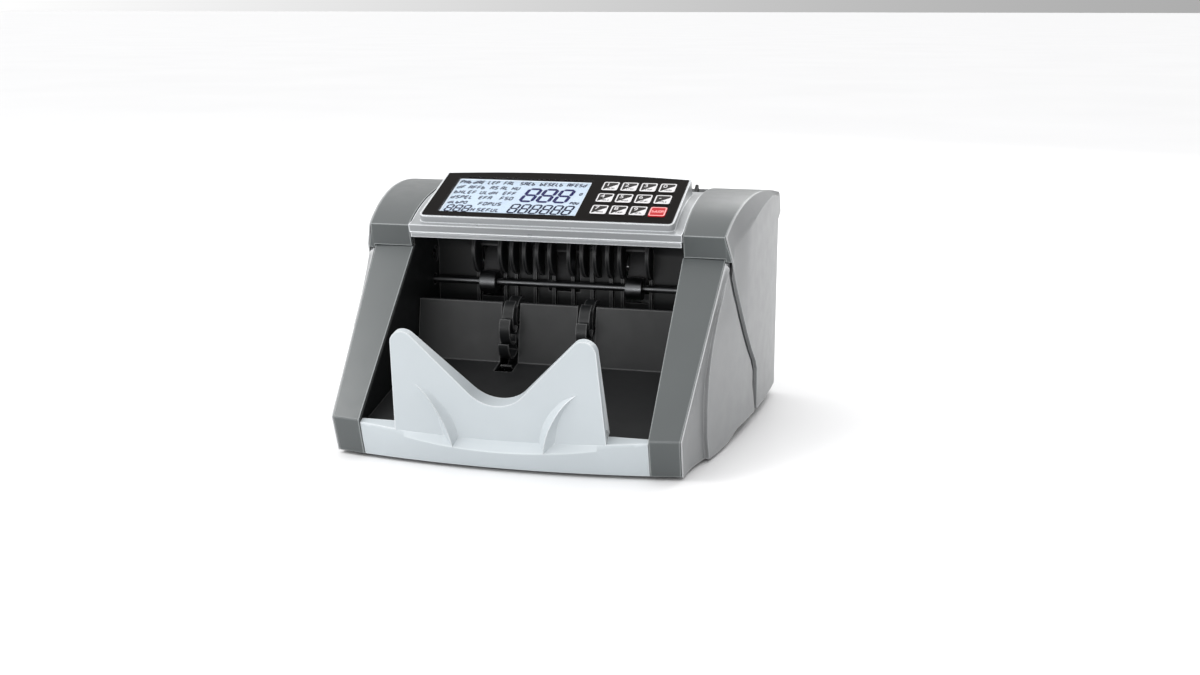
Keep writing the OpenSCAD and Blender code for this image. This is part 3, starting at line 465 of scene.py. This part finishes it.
def round_corners(corners, steps=14):
    """Closed outline through (x, y, radius) corners, each rounded by an arc."""
    points = []
    for i, (x, y, radius) in enumerate(corners):
        here = Vector((x, y))
        before = (Vector(corners[i - 1][:2]) - here).normalized()
        after = (Vector(corners[(i + 1) % len(corners)][:2]) - here).normalized()
        if radius <= 0:
            points.append((x, y))
            continue
        half = before.angle(after) / 2
        start = here + before * (radius / math.tan(half))
        end = here + after * (radius / math.tan(half))
        centre = here + (before + after).normalized() * (radius / math.sin(half))
        a, b = start - centre, end - centre
        turn = math.atan2(a.x * b.y - a.y * b.x, a.dot(b))
        for k in range(steps + 1):
            t = turn * k / steps
            points.append((centre.x + a.x * math.cos(t) - a.y * math.sin(t),
                           centre.y + a.x * math.sin(t) + a.y * math.cos(t)))
    return points


# ---- display: digits, marks and rims -------------------------------------

SEGMENTS = {
    "a": ((0, 1), (1, 1)), "b": ((1, 1), (1, 0.5)), "c": ((1, 0.5), (1, 0)), "d": ((0, 0), (1, 0)),
    "e": ((0, 0), (0, 0.5)), "f": ((0, 0.5), (0, 1)), "g": ((0, 0.5), (1, 0.5)),
}


def stroke(start, end, thick, gap):
    """Six-cornered bar between two points, as on a segment display."""
    a, b = Vector(start), Vector(end)
    along = (b - a).normalized()
    side = Vector((-along.y, along.x)) * thick / 2
    a, b = a + along * gap, b - along * gap
    tip = along * thick / 2
    return [tuple(p) for p in (a, a + tip + side, b - tip + side, b, b - tip - side, a + tip - side)]


def glyph(shapes, names, u, v, width, height, thick, slant, low, high, kind=0, gap=0.0):
    """Draws the named segments in a slanted cell whose lower left corner is (u, v)."""
    for name in names:
        ends = [(u + x * width + slant * y * height, v + y * height) for x, y in SEGMENTS[name]]
        shapes.prism(stroke(ends[0], ends[1], thick, gap), low, high, kind)


# Segment sets that read as small capitals without spelling anything
LETTER_FORMS = ["abcefg", "adefg", "bcefg", "acdfg", "bcdef", "abefg", "cdefg", "abcdef", "def", "aefg",
                "bcdeg"]


def marks(shapes, dice, count, u, v, width, height, pitch, thick, slant, low, high, kind=0):
    """A row of made-up characters that stand for a label."""
    for i in range(count):
        names = dice.choice(LETTER_FORMS)
        glyph(shapes, names, u + i * pitch, v, width, height, thick, slant, low, high, kind)


# Rows of digits: how many, left end, foot, width, height, stroke, pitch, ink, gap at each stroke's ends
DIGIT_ROWS = [
    (3, -25.6, 27.4, 8.6, 18.6, 2.5, 12.4, 0, 0.3),
    (3, -77.0, 9.6, 4.4, 8.8, 1.25, 6.5, 1, 0.15),
    (6, -30.2, 10.2, 5.4, 12.2, 1.45, 7.9, 1, 0.15),
]
# Rows of labels: foot, then letters and left end of each label, then the width and height of a letter's cell
LABEL_ROWS = [
    (51.7, [(3, -78.3), (3, -68.3), (3, -57), (3, -45), (4, -32.5), (6, -17.5), (5, 3)], 2.6, 4.2),
    (43.9, [(2, -78.3), (4, -69.5), (2, -53), (2, -45), (2, -36.5)], 2.85, 4.2),
    (36.2, [(5, -78), (4, -58.5), (3, -41)], 3.0, 4.2),
    (28.5, [(5, -78), (3, -57), (3, -41)], 3.0, 4.2),
    (21.0, [(5, -77.7)], 2.6, 3.4),
    (19.6, [(5, -54.5)], 3.1, 4.2),
    (10.6, [(1, -57.5), (5, -53)], 3.1, 4.2),
    (39.0, [(1, 15.5)], 2.2, 3.0),
    (25.4, [(3, 11.8)], 2.0, 2.9),
]
LABEL_STROKE = 0.9


def build_display():
    """The display's digits and labels, and the white rim around them."""
    dice = random.Random(7)
    shapes = Shapes(on_panel)
    for count, u, v, width, height, thick, pitch, kind, gap in DIGIT_ROWS:
        for i in range(count):
            glyph(shapes, "abcdefg", u + i * pitch, v, width, height, thick, LCD_SLANT,
                  LCD_LOW, LCD_HIGH, kind, gap)
    for v, labels, width, height in LABEL_ROWS:
        for count, u in labels:
            marks(shapes, dice, count, u, v, width * 0.68, height, width * 1.14, LABEL_STROKE, LCD_SLANT,
                  LCD_LOW, LCD_HIGH, 1)
    shapes.build("lcd_segments", "casing", [LCD_INK, LCD_FAINT])

    rims = Shapes(on_panel)
    outer = rounded(-79.9, 20.9, 6.1, 58.4, 0.8)
    inner = rounded(-79.0, 20.0, 7.0, 57.5, 0.6)
    rims.ring(outer, inner, LCD_LOW, LCD_HIGH + 0.01)
    rims.build("lcd_rim", "casing", [RIM_WHITE])


def digit_outline(shapes, digit, u, v, size, low, high):
    """A printed digit or minus sign, in plain type centred on (u, v)."""
    curve = bpy.data.curves.new("digit", "FONT")
    curve.body = digit
    curve.size = size * MM
    curve.align_x, curve.align_y = "CENTER", "CENTER"
    curve.resolution_u = 3
    source = bpy.data.objects.new("digit", curve)
    bpy.context.scene.collection.objects.link(source)
    bpy.context.view_layer.update()
    flat = bpy.data.meshes.new_from_object(source)
    points = [(vertex.co.x / MM, vertex.co.y / MM) for vertex in flat.vertices]
    for face in flat.polygons:
        shapes.prism([(u + points[i][0], v + points[i][1]) for i in face.vertices], low, high)
    bpy.data.objects.remove(source)
    bpy.data.curves.remove(curve)
    bpy.data.meshes.remove(flat)


def build_key_legends():
    """White border, digit and lower corner on each key, with small marks where words would be."""
    gap, border_u, border_v = 0.25, 1.15, 1.25
    dice = random.Random(11)
    for j, row in enumerate(KEYS):
        for i, name in enumerate(row):
            u = KEY_ORIGIN[0] + KEY_PITCH[0] * i
            v = KEY_ORIGIN[1] - KEY_PITCH[1] * j
            half_u, half_v = KEY_SIZE[0] / 2, KEY_SIZE[1] / 2
            low, high = KEY_TOP - 0.01, KEY_TOP + 0.06
            shapes = Shapes(on_panel)
            outer = rounded(u - half_u + gap, u + half_u - gap, v - half_v + gap, v + half_v - gap, 1.5)
            inner = rounded(u - half_u + border_u, u + half_u - border_u,
                            v - half_v + border_v, v + half_v - border_v, 0.9)
            shapes.ring(outer, inner, low, high)
            if name == "key_start":
                marks(shapes, dice, 5, u - 4.2, v - 1.4, 1.15, 2.8, 1.75, 0.5, 0.0, low, high)
                shapes.build("key_start_legend", name, [RED_PRINT])
                continue
            left, right = u - half_u + 1.2, u + half_u - 1.2
            bottom, top = v - half_v + 1.3, v + half_v - 1.3
            shapes.prism([(left + 0.4, bottom), (right, bottom), (right, top - 2.6)], low, high)
            marks(shapes, dice, 4, u - 1.4, bottom + 0.9, 0.85, 1.7, 1.3, 0.42, 0.0, high, high + 0.04, 1)
            sign = "-" if name == "key_minus" else name[-1]
            digit_outline(shapes, sign, u - 2.1, v + 2.1, 6.6, low, high)
            shapes.build(name + "_legend", name, [WHITE_PRINT, DARK_PRINT])


build_display()
build_key_legends()


# ---- stacker plate with its tusks ----------------------------------------

def plate_y(z):
    """Where the plate's front face is at height z."""
    return PLATE_Y - PLATE_LEAN * (z - PLATE_Z)


def on_plate(x, z, n):
    """Point on the leaning plate at height z, moved n out of its front face."""
    lean = math.atan(PLATE_LEAN)
    return (x, plate_y(z) - n * math.cos(lean), z - n * math.sin(lean))


def plate_depth(z):
    """Depth of the horned moulding: full at the notch, thinner at the tips, thin behind the lip."""
    lip_top, notch_z, tip_run = 27, 46, 48
    if z < lip_top:
        return 3.0
    toward_tip = min(1, max(0, (z - notch_z) / tip_run))
    toward_lip = max(0, (notch_z - z) / (notch_z - lip_top))
    return 12.4 - 7.4 * toward_tip - 1.6 * toward_lip


def lip_profile(x):
    """Section of the lip at x, front surface first, then the back."""
    u = abs(x) / HALF_W
    past = max(0.0, (abs(x) - PLATE_W) / (HALF_W - PLATE_W))
    foot_y, fold, fold_y = -120.5 + 8.4 * u * u, 15 + 10.8 * u * u, -126.5 + 7.6 * u * u
    if past > 0:
        edge, edge_y = 24.7 + 1.7 * past, plate_y(24.7) * (1 - past) - 118.5 * past
    else:
        edge = 22 + 2.7 * (x / PLATE_W) ** 2
        edge_y = plate_y(edge) + 0.1
    foot_z, wall, back_y = 2.5, 3, -114.6
    inner_fold = min(fold - 1.2, edge - wall)
    return [(x, foot_y, foot_z), (x, (foot_y + fold_y) / 2 - 0.25, (foot_z + fold) / 2), (x, fold_y, fold),
            (x, edge_y, edge), (x, back_y, 28), (x, back_y, 26), (x, edge_y + wall, edge - 1.4),
            (x, fold_y + 3.3, inner_fold), (x, foot_y + wall, foot_z)]


def loft(sections):
    """Closed solid through sections that have the same number of points."""
    count = len(sections[0])
    verts = [p for section in sections for p in section]
    faces = []
    for i in range(len(sections) - 1):
        here, ahead = i * count, (i + 1) * count
        for j in range(count):
            k = (j + 1) % count
            faces.append([here + j, here + k, ahead + k, ahead + j])
    last = (len(sections) - 1) * count
    faces.append(list(range(count)))
    faces.append([last + j for j in range(count)][::-1])
    return verts, faces


def smooth_line(points, t):
    """Catmull-Rom curve through points; t runs from 0 to 1."""
    spans = len(points) - 1
    place = min(t * spans, spans - 1e-6)
    i = int(place)
    f = place - i
    ends = [points[max(i - 1, 0)], points[i], points[i + 1], points[min(i + 2, spans)]]
    weights = (-0.5 * f + f * f - 0.5 * f ** 3, 1 - 2.5 * f * f + 1.5 * f ** 3,
               0.5 * f + 2 * f * f - 1.5 * f ** 3, -0.5 * f * f + 0.5 * f ** 3)
    return tuple(sum(w * p[k] for w, p in zip(weights, ends)) for k in range(len(points[0])))


# Lines of one tusk as (x, z) on the plate; the ridge also has its rise out of the plate
TUSK_OUTER = [(54.3, 57.8), (46.9, 48.2), (42.0, 38.5), (39.8, 28.8), (38.6, 23.2)]
TUSK_RIDGE = [(54.3, 57.8, 0.0), (47.0, 52.0, 2.2), (40.4, 43.5, 4.2), (34.6, 32.2, 5.2), (31.3, 21.6, 5.4),
              (30.7, 16.2, 4.7)]
TUSK_INNER = [(54.3, 57.8), (44.5, 54.0), (36.8, 46.6), (30.2, 37.0), (26.6, 25.0), (26.4, 21.5)]
TUSK_SINK, TUSK_ROOT = 0.35, 1.6   # how deep its side edges and its middle reach into the plate


def between(start, end, n, s, side):
    """Point on the plate between two (x, z) places, n out of it, on one side of the middle."""
    return on_plate(side * (start[0] + (end[0] - start[0]) * s), start[1] + (end[1] - start[1]) * s, n)


def tusk_mesh(side):
    """A scooped buttress on the plate: steep outer face, hollow inner face, sharp ridge between them."""
    rows, outer_steps, inner_steps = 28, 5, 9
    sections = []
    for r in range(rows + 1):
        outer, ridge, inner = (smooth_line(line, r / rows) for line in (TUSK_OUTER, TUSK_RIDGE, TUSK_INNER))
        section = []
        for k in range(outer_steps + 1):
            s = k / outer_steps
            section.append(between(outer, ridge, ridge[2] * s ** 1.25 - TUSK_SINK * (1 - s), s, side))
        for k in range(1, inner_steps + 1):
            s = k / inner_steps
            section.append(between(ridge, inner, ridge[2] * (1 - s) ** 1.7 - TUSK_SINK * s, s, side))
        section.append(on_plate(side * ridge[0], ridge[1], -TUSK_ROOT))
        sections.append(section)
    return loft(sections)


def merge(parts):
    """Joins several (verts, faces) pairs into one."""
    verts, faces = [], []
    for part_verts, part_faces in parts:
        shift = len(verts)
        verts += part_verts
        faces += [[i + shift for i in face] for face in part_faces]
    return verts, faces


def horns():
    """The horned moulding: its outline, rounded at the tips and the notch, given its depth."""
    right = [(PLATE_W, 20, 0), (PLATE_W - 0.3, 26.9, 0), (PLATE_W - 0.32, 27.1, 0), (67.06, 104.9, 8.3)]
    left = [(-x, z, radius) for x, z, radius in reversed(right)]
    notch = (0, 35.2, 24.4)
    outline = round_corners(left[-1:] + right + [notch] + left[:-1])
    front = [on_plate(x, z, 0) for x, z in outline]
    back = [on_plate(x, z, -plate_depth(z)) for x, z in outline]
    count = len(outline)
    faces = [list(range(count)), [count + i for i in range(count)][::-1]]
    faces += [[i, count + i, count + (i + 1) % count, (i + 1) % count] for i in range(count)]
    return front + back, faces


def lip():
    """The curved lip along the plate's foot, from pillar to pillar."""
    reach, steps = HALF_W - 0.2, 48
    return loft([lip_profile(-reach + 2 * reach * i / steps) for i in range(steps + 1)])


def build_stacker_plate():
    """Finer horns, lip and tusks in place of the plain plate."""
    parts = [
        ("stacker_horns", horns(), 0.7, 3, 40),
        ("stacker_lip", lip(), 0.5, 3, 25),
        ("stacker_tusks", merge([tusk_mesh(1), tusk_mesh(-1)]), 0.35, 2, 38),
    ]
    for name, (verts, faces), radius, segments, angle in parts:
        obj = piece(name, "casing", [FINISHES["pale_plastic"]], verts, faces)
        soften(obj, radius, segments, angle, from_cad=False)
        for face in obj.data.polygons:
            face.use_smooth = True
        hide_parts("stacker_plate")


build_stacker_plate()


# ---- fine parts of the console and the comb ------------------------------

def build_console_lip():
    """Beaded lower edge of the silver console, above the pocket."""
    reach = HALF_W - 0.1
    profile = [(-20.9, 139.4), (-21.6, 139.0), (-21.6, 138.4), (-20.8, 138.0), (-20.0, 134.9),
               (-18.0, 134.9), (-18.0, 139.4)]
    shapes = Shapes(across)
    shapes.prism(profile, -reach, reach)
    bead = shapes.build("console_lip", "casing", [FINISHES["silver_plastic"]])
    soften(bead, 0.25, 2, 25, from_cad=False)


build_console_lip()


def build_console_wall():
    """Wall that closes the back of the raised platform, just behind the control board."""
    half_width, front, back = 66, 61.2, 62.4
    shapes = Shapes(on_panel)
    outline = [(-half_width, front), (half_width, front), (half_width, back), (-half_width, back)]
    shapes.prism(outline, -12, -3.05)
    shapes.build("console_back_wall", "casing", [FINISHES["silver_plastic"]])


build_console_wall()


def build_guide_fins():
    """Rounded black fins that bulge out of the guide comb above the rollers."""
    centre_y, centre_z, radius, half_thick = 36, 119, 18, 1.6
    arc = [math.radians(angle) for angle in range(262, 130, -6)]
    profile = [(centre_y + radius * math.cos(turn), centre_z + radius * math.sin(turn)) for turn in arc]
    profile += [(28.5, 130.6), (34.4, 119.5), (34.4, 101.2)]
    shapes = Shapes(across)
    for x in (7.2, 16.8, 26.4, 36.0, 44.9, 65.1):
        for side in (-1, 1):
            shapes.prism(profile, side * x - half_thick, side * x + half_thick)
    fins = shapes.build("guide_fins", "casing", [FINISHES["black_plastic"]])
    soften(fins, 0.7, 2, 25, from_cad=False)


build_guide_fins()


# ---- screws --------------------------------------------------------------

SCREW_R = 2.6
REAR_Y, BASE_Z = 124.0, 7.5    # where the heads meet the rear cover and the base pan


def screw(name, centre, normal):
    """Pan-head screw with a cross recess; centre is where the head meets the surface."""
    axis = Vector(normal).normalized()
    side = axis.orthogonal().normalized()
    up = axis.cross(side)

    def place(a, b, height):
        return tuple(Vector(centre) + side * a + up * b + axis * height)

    # The head: rings of (radius, height), from the surface up
    shape = ((1, 0), (1, 0.25), (0.86, 0.45), (0.6, 0.56))
    rings = [(reach * SCREW_R, rise * SCREW_R) for reach, rise in shape]
    steps = 24
    turns = [2 * math.pi * k / steps for k in range(steps)]
    verts = [place(reach * math.cos(turn), reach * math.sin(turn), height)
             for reach, height in rings for turn in turns]
    faces = [list(range(steps))[::-1]]
    for ring in range(len(rings) - 1):
        low, high = ring * steps, (ring + 1) * steps
        for k in range(steps):
            n = (k + 1) % steps
            faces.append([low + k, low + n, high + n, high + k])

    # The recess: a cross of twelve corners, each joined to every second point of the top ring
    arm, half_slot, depth = 0.5 * SCREW_R, 0.11 * SCREW_R, 0.28 * SCREW_R
    quarter = [(arm, half_slot), (half_slot, half_slot), (half_slot, arm)]
    upper = quarter + [(-a, b) for a, b in reversed(quarter)]
    cross = upper + [(a, -b) for a, b in reversed(upper)]
    top, rim = len(verts) - steps, len(verts)
    bottom = rim + len(cross)
    top_height = rings[-1][1]
    for height in (top_height, top_height - depth):
        verts += [place(a, b, height) for a, b in cross]
    for k in range(len(cross)):
        n = (k + 1) % len(cross)
        outer = [top + 2 * k, top + (2 * k + 1) % steps, top + (2 * k + 2) % steps]
        faces.append(outer + [rim + n, rim + k])
        faces.append([rim + k, rim + n, bottom + n, bottom + k])
    faces.append([bottom + k for k in range(len(cross))])

    obj = piece(name, "casing", [SCREW], verts, faces)
    for face in obj.data.polygons:
        face.use_smooth = False


for index, (x, z) in enumerate([(-128, 18), (128, 18), (-128, 118), (128, 118), (-20, 16), (94, 16)]):
    screw(f"rear_screw_{index}", (x, REAR_Y, z), (0, 1, 0))
for index, (x, y) in enumerate([(-60, 20), (60, 20), (-60, 108), (60, 108)]):
    screw(f"base_screw_{index}", (x, y, BASE_Z), (0, 0, -1))


# ---- studio, light and camera --------------------------------------------

# Places and sizes from here on are in metres, and lamps in watts

def studio_floor():
    """Wide pale floor."""
    finish = Finish("studio_floor")
    tone = finish.spread(finish.noise(2, 2), 0, 1)
    base = finish.mix(tone, (0.755, 0.755, 0.76), (0.775, 0.775, 0.78))
    finish.join(base, finish.shader.inputs["Base Color"])
    finish.set(Roughness=0.9)
    mesh = bpy.data.meshes.new("floor")
    reach = 40.0
    mesh.from_pydata([(-reach, -reach, 0), (reach, -reach, 0), (reach, reach, 0), (-reach, reach, 0)], [],
                     [(0, 1, 2, 3)])
    mesh.materials.append(finish.material)
    floor = bpy.data.objects.new("floor", mesh)
    bpy.context.scene.collection.objects.link(floor)


def studio_world():
    """White surroundings, bright to the upper left in front and dim on the other side."""
    world = bpy.data.worlds.new("studio")
    bpy.context.scene.world = world
    world.use_nodes = True
    tree = world.node_tree
    toward = tree.nodes.new("ShaderNodeVectorMath")
    toward.operation = "DOT_PRODUCT"
    toward.inputs[1].default_value = Vector((-0.75, -0.30, 0.62)).normalized()
    glow = tree.nodes.new("ShaderNodeMapRange")
    glow.interpolation_type = "SMOOTHSTEP"
    for socket, value in (("From Min", -0.5), ("From Max", 1.0), ("To Min", 0.40), ("To Max", 1.75)):
        glow.inputs[socket].default_value = value
    tree.links.new(tree.nodes.new("ShaderNodeTexCoord").outputs["Generated"], toward.inputs[0])
    tree.links.new(toward.outputs["Value"], glow.inputs["Value"])
    tree.links.new(glow.outputs[0], tree.nodes["Background"].inputs["Strength"])
    tree.nodes["Background"].inputs["Color"].default_value = (1.0, 1.0, 1.0, 1.0)


def area_light(name, place, target, size, power):
    """Soft rectangular lamp at place that points at target."""
    light = bpy.data.lights.new(name, "AREA")
    light.shape = "RECTANGLE"
    light.size, light.size_y = size
    light.energy = power
    obj = bpy.data.objects.new(name, light)
    obj.location = place
    obj.rotation_euler = (Vector(target) - Vector(place)).to_track_quat("-Z", "Y").to_euler()
    bpy.context.scene.collection.objects.link(obj)


studio_floor()
studio_world()
area_light("key_light", (-1.15, -0.65, 1.3), (0, 0, 0.08), (0.7, 0.7), 11)
area_light("back_light", (0.5, 1.5, 1.1), (0, 0.02, 0.12), (1.4, 0.7), 18)
area_light("front_fill", (-0.5, -1.9, 0.16), (0, 0, 0.05), (1.4, 0.3), 12)
area_light("side_fill", (1.7, -0.3, 0.1), (0, 0, 0.04), (1.2, 0.2), 5)

camera_data = bpy.data.cameras.new("camera")
camera_data.sensor_width = 36.0
camera_data.lens = 43.57
camera_data.clip_start, camera_data.clip_end = 0.05, 60
camera = bpy.data.objects.new("camera", camera_data)
camera.location = (0.28891, -0.97397, 0.29781)
camera.rotation_mode = "QUATERNION"
toward_camera = Vector((0.2452, -0.9429, 0.2256))
camera.rotation_quaternion = (-toward_camera).to_track_quat("-Z", "Y")
bpy.context.scene.collection.objects.link(camera)
bpy.context.scene.camera = camera

view = bpy.context.scene.view_settings
view.view_transform = "Standard"
view.look = "None"
